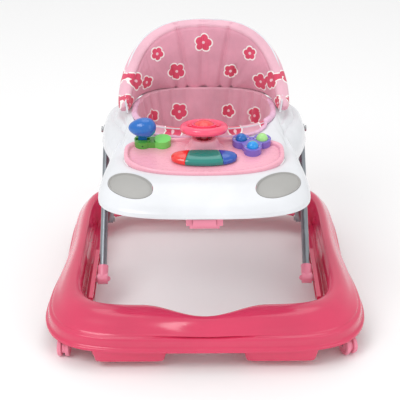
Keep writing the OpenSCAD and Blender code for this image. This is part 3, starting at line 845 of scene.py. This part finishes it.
def crescent_rings(deep_in, deep_out, z_low, shrink):
    """Sections of a wrap-round pad between two depths, rounded off towards both of its ends."""
    count, around = 150, 44
    rings = []
    for i in range(count + 1):
        s = -6 + 192 * i / count
        end = (1 - abs((s - 90) / 97) ** 14) ** 0.5
        top, low = back_top(s) - shrink, z_low + 0.7 * FOLD_RISE * smooth(sind(s) * 1.6)
        mid_d, half_d = (deep_in + deep_out) / 2, (deep_out - deep_in) / 2 * end
        ring = []
        for k in range(around):
            a = 360 * k / around
            z = (top + low) / 2 + (top - low) / 2 * end * power(sind(a), 4.2)
            ring.append(seat_point(s, pad_lean(s, z) + mid_d + half_d * power(cosd(a), 2.7), z))
        rings.append(ring)
    return rings


def height_share(s, z):
    top = BACK_TOP - BACK_DROP * (1 - np.clip(np.sin(np.radians(s)), 0, 1))
    return (z - 0.405) / np.maximum(top - 0.405, 0.01)


def top_band(s, z):
    """Above zero on the boxed band along the pad's upper edge, where the cotton paints light on the
    upward-facing top.
    """
    top = BACK_TOP - BACK_DROP * (1 - np.clip(np.sin(np.radians(s)), 0, 1))
    return z - (top - 0.013)


def no_band(s, z):
    """Below zero all over: cloth without an edge band."""
    return 0 * z - 1


def make_backrest(material):
    """Boxed wrap-round pad over the backrest board, blown up between its pleats."""
    verts, faces = sweep(crescent_rings(PAD_IN, PAD_OUT, PAD_LOW, -PAD_ABOVE_BOARD), closed=False)
    pad = new_piece("backrest_pad", verts, faces, material, "tray", "seat_fabric", ("backrest_cushion",))
    soften(pad, 0.0048)
    s, g, z = seat_frame(get_points(pad))
    pleats = groove(s, z, PLEATS, height_share) > 0.75
    hem = np.abs(top_band(s, z)) < 0.0028
    puff(pad, (pleats | hem) & (g - pad_lean(s, z) < 0.0), 4.0, 0.012)
    subdivide(pad)
    s, g, z = seat_frame(get_points(pad))
    front = g - pad_lean(s, z) < -0.006
    line = np.exp(-((top_band(s, z) / 0.0024) ** 2))
    push_in(pad, front * (0.0062 * groove(s, z, PLEATS, height_share) + 0.0026 * line))
    mark_cloth(pad, flower_rows(PAD_ROWS, PAD_PRINT_LOW, back_top), (pad_front, pad_rear), top_band)
    tidy_normals(pad, 80)


def bowl_side(outer_to_inner, rim_lift):
    """Distance outside the hole's outline and height down the bowl, from the rim to its middle."""
    k = outer_to_inner
    down = [(-0.005 - k, RIM_Z + rim_lift), (-0.0075 - k, 0.375), (-0.010 - k, 0.360), (-0.020 - k, 0.305),
            (-0.036 - k, 0.250 + k), (-0.062 - k, 0.208 + k), (-0.078 - k, BOWL_FLOOR + k),
            (-0.092, BOWL_FLOOR + k * 0.9), (-0.1095, BOWL_FLOOR + k * 0.9)]
    return [tuple(p) for p in spline(down, 15)]


def bowl_puff(s, z):
    """Swell of the padded inside between the sewn upright channels of the rear wall."""
    if not 15 < s < 170 or z < 0.225:
        return 0.0015
    near = min(abs(s - c) for c in CHANNELS) * 0.0024
    fade = smooth((z - 0.225) / 0.05) * smooth((s - 15) / 12) * smooth((170 - s) / 12)
    return 0.0015 + 0.0052 * fade * (1 - math.exp(-((near / 0.0075) ** 2)))


def bowl_grow(z):
    side = bowl_side(0.006, 0.0)
    return min(side, key=lambda p: abs(p[1] - z))[0]


def make_bowl(cotton, trim):
    """Quilted hammock seat with two bound leg holes."""
    count = 320
    columns = []
    for i in range(count):
        s = 360 * i / count
        lift = FOLD_RISE * smooth(sind(s) * 1.6)
        outside = [seat_point(s, g, z) for g, z in bowl_side(0.0, lift)]
        inside = [seat_point(s, g - bowl_puff(s, z) * smooth((z - 0.20) / 0.03), z)
                  for g, z in bowl_side(0.006, lift)]
        columns.append(outside[::-1] + inside)
    rings = [[column[j] for column in columns] for j in range(len(columns[0]))]
    verts, faces = sweep(rings, closed=False)
    bowl = new_piece("seat_hammock", verts, faces, cotton, "tray", "seat_fabric", ("seat_bowl",), 80)
    tree = BVHTree.FromPolygons(verts, faces)
    for name, x in (("leg_binding_left", -LEG_HOLE[0]), ("leg_binding_right", LEG_HOLE[0])):
        place = Matrix.Translation((x, LEG_HOLE[1], LEG_HOLE[2])) @ Matrix.Rotation(math.radians(128), 4, "X")
        tool = [[place @ Vector((LEG_HOLE_R * cosd(5 * k), LEG_HOLE_R * sind(5 * k), z)) for k in range(72)]
                for z in (0.0, 0.12)]
        cut(bowl, *sweep(tool, closed=False))
        path = []
        for k in range(72):
            start = place @ Vector((LEG_HOLE_R * cosd(5 * k), LEG_HOLE_R * sind(5 * k), 0))
            hit = tree.ray_cast(start, place.to_3x3() @ Vector((0, 0, 1)))[0]
            path.append(hit + (place.to_3x3() @ Vector((0, 0, 1))) * 0.003)
        binding = new_piece(name, *loop_tube(path, 0.0048), trim, "tray", "seat_fabric", (), 80)
    flowers = flower_rows(BOWL_ROWS, BOWL_PRINT_LOW, lambda s: RIM_Z)
    mark_cloth(bowl, flowers, (lambda s, z: bowl_grow(z),), no_band)
    tidy_normals(bowl, 70)


def loop_tube(path, radius, around=14):
    """A tube round a closed path, with small gathers in it."""
    n = len(path)
    rings = []
    for i, p in enumerate(path):
        along = (path[(i + 1) % n] - path[i - 1]).normalized()
        side = along.cross(Vector((0, 0, 1))).normalized()
        up = side.cross(along)
        r = radius * (1 + 0.07 * math.sin(i * 2.4))
        rings.append([p + side * r * cosd(360 * k / around) + up * r * sind(360 * k / around)
                      for k in range(around)])
    return sweep(rings)


def apron_reach(s):
    """How far the cloth laps over the front edge of the seat hole, towards the toy panel."""
    return 0.022 * smooth((-sind(s) - 0.50) / 0.48)


def deck_height(tree, x, y):
    hit = tree.ray_cast(Vector((x, y, 0.5)), Vector((0, 0, -1)))[0]
    return max(hit.z, 0.372) if hit else RIM_Z


def make_apron(cotton, tree):
    """Flap of seat cloth lapped over the front edge of the hole onto the tray."""
    rings = []
    for i in range(141):
        s = 200 + i
        top, bottom = [], []
        for k in range(15):
            g = mix(-0.009, apron_reach(s), k / 14)
            x, y = hole(s, g)
            z = deck_height(tree, x, y) if g > 0.0015 else deck_height(tree, *hole(s, 0.0015))
            z = max(z + 0.0022, mix(0.3915, z + 0.0022, smooth((g + 0.004) / 0.010)))
            top.append((x, y, z))
            bottom.append((x, y, z - 0.0018))
        rings.append(top + bottom[::-1])
    apron = new_piece("seat_apron", *sweep(rings, closed=False), cotton, "tray", "seat_fabric", (), 80)
    subdivide(apron)
    flowers = flower_rows((0,), FLAP_PRINT_Z, back_top)
    mark_cloth(apron, flowers, (lambda s, z: FLAP_GROW,), no_band)


def make_rim_binding(trim, tree):
    """Satin strip along the cloth's edge: over the seat ring, and round the front flap."""
    rings = []
    count = 720
    for i in range(count):
        s = 360 * i / count
        pucker = 0.0004 * math.sin(math.radians(s * 64)) + 0.0003 * math.sin(math.radians(s * 23))
        lap = apron_reach(s)
        out = smooth(lap / 0.006)
        x, y = hole(s, lap)
        rest = mix(0.3895, deck_height(tree, x, y) + 0.0028, out)
        ring = []
        for k in range(16):
            a = 360 * k / 16
            g = lap - mix(0.0055, 0.001, out) + (mix(0.0062, 0.0042, out) + pucker) * power(cosd(a), 2.4)
            z = rest + (mix(0.0058, 0.0030, out) + pucker) * power(sind(a), 2.4)
            ring.append(seat_point(s, g, z))
        rings.append(ring)
    binding = new_piece("rim_binding", *sweep(rings), trim, "tray", "seat_fabric", (), 80)


# ---------------------------------------------------------------- music keys
KEYS_HW, KEYS_REAR, KEYS_FRONT, KEYS_V = 0.069, 0.019, 0.031, -0.008
KEY_SLANT, KEY_CUT = 0.25, 0.033


def key_depth(x):
    return max(0.0, 1 - abs(x / KEYS_HW) ** 2.35) ** (1 / 2.35)


def key_point(x0, x1, t):
    """A point of one key, between boundary functions x0 and x1, at t from -1 (front) to 1 (rear)."""
    y = 0.0
    for _ in range(12):
        x = mix(x0[0] + x0[1] * y, x1[0] + x1[1] * y, x0[2])
        y = t * key_depth(x) * (KEYS_REAR if t > 0 else KEYS_FRONT)
    return x, y


def make_keys(made):
    """Three glossy rounded keys: one long dome cut across twice."""
    end = KEYS_HW - 0.0002
    gap = 0.0004
    sides = {"left": ((-end, 0.0), (-KEY_CUT - gap, KEY_SLANT)),
             "middle": ((-KEY_CUT + gap, KEY_SLANT), (KEY_CUT - gap, -KEY_SLANT)),
             "right": ((KEY_CUT + gap, -KEY_SLANT), (end, 0.0))}
    for name, (a, b) in sides.items():
        rings = []
        for i in range(41):
            u = smooth(i / 40)
            top = []
            for k in range(33):
                t = -cosd(180 * k / 32)
                x, y = key_point((*a, u), b, t)
                edge = min(u, 1 - u) * 40
                lip = 1 - 0.10 * math.exp(-edge * edge) * (name == "middle" or (u > 0.5) == (name == "left"))
                h = 0.0118 * max(0, 1 - abs(t) ** 2.6) ** 0.5 * max(0, 1 - abs(x / KEYS_HW) ** 5) ** 0.5
                h = 0.0032 + h * lip
                top.append((x, y + KEYS_V, h))
            rings.append(top + [(x, y, 0.0) for x, y, _ in top[::-1]])
        node = f"key_{name}"
        verts, faces = sweep(rings, closed=False)
        slot = {"left": "key_red", "middle": "key_teal", "right": "key_blue"}[name]
        new_piece(f"music_key_{name}", moved(verts, PANEL), faces, made[node],
                  BODY_OF[node], slot, (node,), 50)


# ---------------------------------------------------------------- casters
CASTERS = [(-0.293, -0.277, 175), (0.293, -0.277, 205), (-0.262, 0.285, 200), (0.262, 0.285, 160)]
CASTER_TRAIL, CASTER_R, CASTER_W = 0.012, 0.021, 0.009


def wheel_profile():
    h, r = CASTER_W / 2, CASTER_R
    face = [(0.0022, h), (0.0060, h), (0.0066, h - 0.0012), (0.0130, h - 0.0014), (0.0140, h - 0.0002),
            (0.0175, h), (0.0198, h - 0.0006), (r - 0.0003, h - 0.0018), (r, h - 0.0032)]
    return [(q, -z) for q, z in face] + [(r - 0.0004, -0.0005), (r - 0.0004, 0.0005)] + face[::-1]


def make_casters(material):
    for k, (x, y, turn) in enumerate(CASTERS):
        node = f"caster_wheels_{k + 1}"
        place = (Matrix.Translation((x, y, 0)) @ Matrix.Rotation(math.radians(turn), 4, "Z")
                 @ Matrix.Translation((0, CASTER_TRAIL, CASTER_R))
                 @ Matrix.Rotation(math.radians(90), 4, "Y"))
        verts, faces = [], []
        for side in (-1, 1):
            v, f = lathe(wheel_profile(), 72)
            shift = place @ Matrix.Translation((0, 0, side * (0.0036 + CASTER_W / 2)))
            faces += [tuple(i + len(verts) for i in face) for face in f]
            verts += moved(v, shift)
        new_piece(f"twin_wheels_{k + 1}", verts, faces, material,
                  BODY_OF[node], "light_pink", (node,), 40)


def make_stop_blocks(material):
    """Pair of tapered blocks with rounded corners under the front bar."""
    low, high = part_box("stopper_blocks")
    middle, half_w, half_d = 0.155, 0.078, (high[1] - low[1]) / 2
    y = (high[1] + low[1]) / 2
    verts, faces = [], []
    # Distance in from the outline, and height.
    steps = [(0.016, low[2]), (0.0100, low[2]), (0.0078, low[2] + 0.0008), (0.0064, low[2] + 0.0032),
             (0.0002, high[2] - 0.0006), (0.0002, high[2])]
    for side in (-1, 1):
        rings = []
        for inset, z in steps:
            rings.append([(side * middle + (half_w - inset) * power(cosd(5 * k), 9),
                           y + (half_d - 0.4 * inset) * power(sind(5 * k), 7), z) for k in range(72)])
        v, f = sweep(rings, closed=False)
        faces += [tuple(i + len(verts) for i in face) for face in f]
        verts += v
    new_piece("stop_blocks", verts, faces, material, "base", "base_pink", ("stopper_blocks",), 40)


# ---------------------------------------------------------------- materials by slot
PLASTICS = {
    "base_pink": ("D9365F", 0.20, 0.5), "light_pink": ("F08CA6", 0.30, 0.35),
    "panel_pink": ("F5AEC0", 0.28, 0.35), "tray_white": ("E4E6EA", 0.24, 0.45),
    "lamp_silver": ("A9A8A5", 0.36, 0.20), "nylon": ("E9E7E0", 0.42, 0.0),
    # dark_red is a darker copy of the base pink: painted shade for parts seen in shadow.
    "dark_red": ("A81E34", 0.28, 0.4),
    "wheel_pink": ("EE8AA2", 0.38, 0.1), "horn_red": ("F23A3C", 0.18, 0.7),
    "toy_green": ("56B03C", 0.24, 0.5), "toy_blue": ("0566BC", 0.20, 0.6),
    "pale_green": ("A8E48C", 0.2, 0.6),
    "toy_purple": ("7A68C8", 0.24, 0.5), "key_red": ("F03530", 0.14, 0.8), "key_teal": ("0F857A", 0.14, 0.8),
    "key_blue": ("1050B0", 0.14, 0.8), "board_green": ("1E5B38", 0.45, 0.2),
    "black_plastic": ("1C1C1E", 0.4, 0.1), "seat_fabric": ("D48CA2", 0.8, 0.0),
}
METALS = {"tube_steel": ("9EA4AA", 0.34), "steel": ("B8BABC", 0.28)}
BEVELS = {
    "stopper_blocks": 0.003, "adjuster_housing": 0.0025, "panel_cover": 0.0015, "gear_housing": 0.0014,
    "spinner_housing": 0.0014, "steering_wheel": 0.0012, "key_left": 0.001, "key_middle": 0.001,
    "key_right": 0.001, "pivot_brackets": 0.001, "front_shoes": 0.001, "release_lever": 0.001,
    "hinge_brackets": 0.001, "caster_fork_1": 0.0008, "caster_fork_2": 0.0008, "caster_fork_3": 0.0008,
    "caster_fork_4": 0.0008, "upper_sliders": 0.0008, "slide_rails": 0.0008, "horn_button": 0.0008,
    "caster_sockets": 0.0008, "gear_lever": 0.0006, "battery_door": 0.0006,
}


def make_materials():
    made = {}
    for slot, (colour, rough, coat) in PLASTICS.items():
        made[slot] = plastic(slot, colour, rough, coat)
    for slot, (colour, rough) in METALS.items():
        made[slot] = metal(slot, colour, rough)
    return made


def dress_nodes(made):
    special = {
        "gear_housing": split_plastic("gear_greens", ("4FA838", "72DE60"), "X",
                                      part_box("gear_knob")[1][0] - 0.003),
        "ball_front": split_plastic("ball_blue_green", ("0C96E8", "8FDC70"), "Y",
                                    ball_middle("ball_front")),
        "key_right": split_plastic("key_blue_purple", ("1050B0", "6A40A8"), "Y",
                                   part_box("key_right")[1][1] - 0.004, rough=0.14, coat=0.8),
        "steering_wheel": plastic("wheel_rim_pink", "FC5478", 0.2, 0.6),
    }
    for row in frame["record"]["subparts"]:
        node = row["node"]
        made[node] = special.get(node, made[row["material_slot"]])
        dress_node(node, made[node], BEVELS.get(node, 0.0))


def ball_middle(node):
    low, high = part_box(node)
    return (low[1] + high[1]) / 2


# ---------------------------------------------------------------- the walker
made = make_materials()
# The second colour of each cotton is its top band, painted lighter as light on the upward-facing top; the
# seat cotton never shows its band.
cotton = print_cotton("printed_cotton", "DC98AC", "E9B4C4")
seat_cotton = print_cotton("seat_cotton", "DDA0B2", "E8B8C8")
lilac = satin("satin_lilac", "E8B8D4")
make_camera()
make_studio()
dress_nodes(made)
make_base(made["base_pink"])
bumper, lamp_place = make_tray(made["tray_white"])
make_lamps(made["lamp_silver"], bumper, lamp_place)
make_panel(made["panel_pink"])
make_keys(made)
make_stop_blocks(made["base_pink"])
make_casters(made["wheel_pink"])
make_bowl(seat_cotton, lilac)
make_apron(seat_cotton, bumper)
make_rim_binding(lilac, bumper)
make_backrest(cotton)
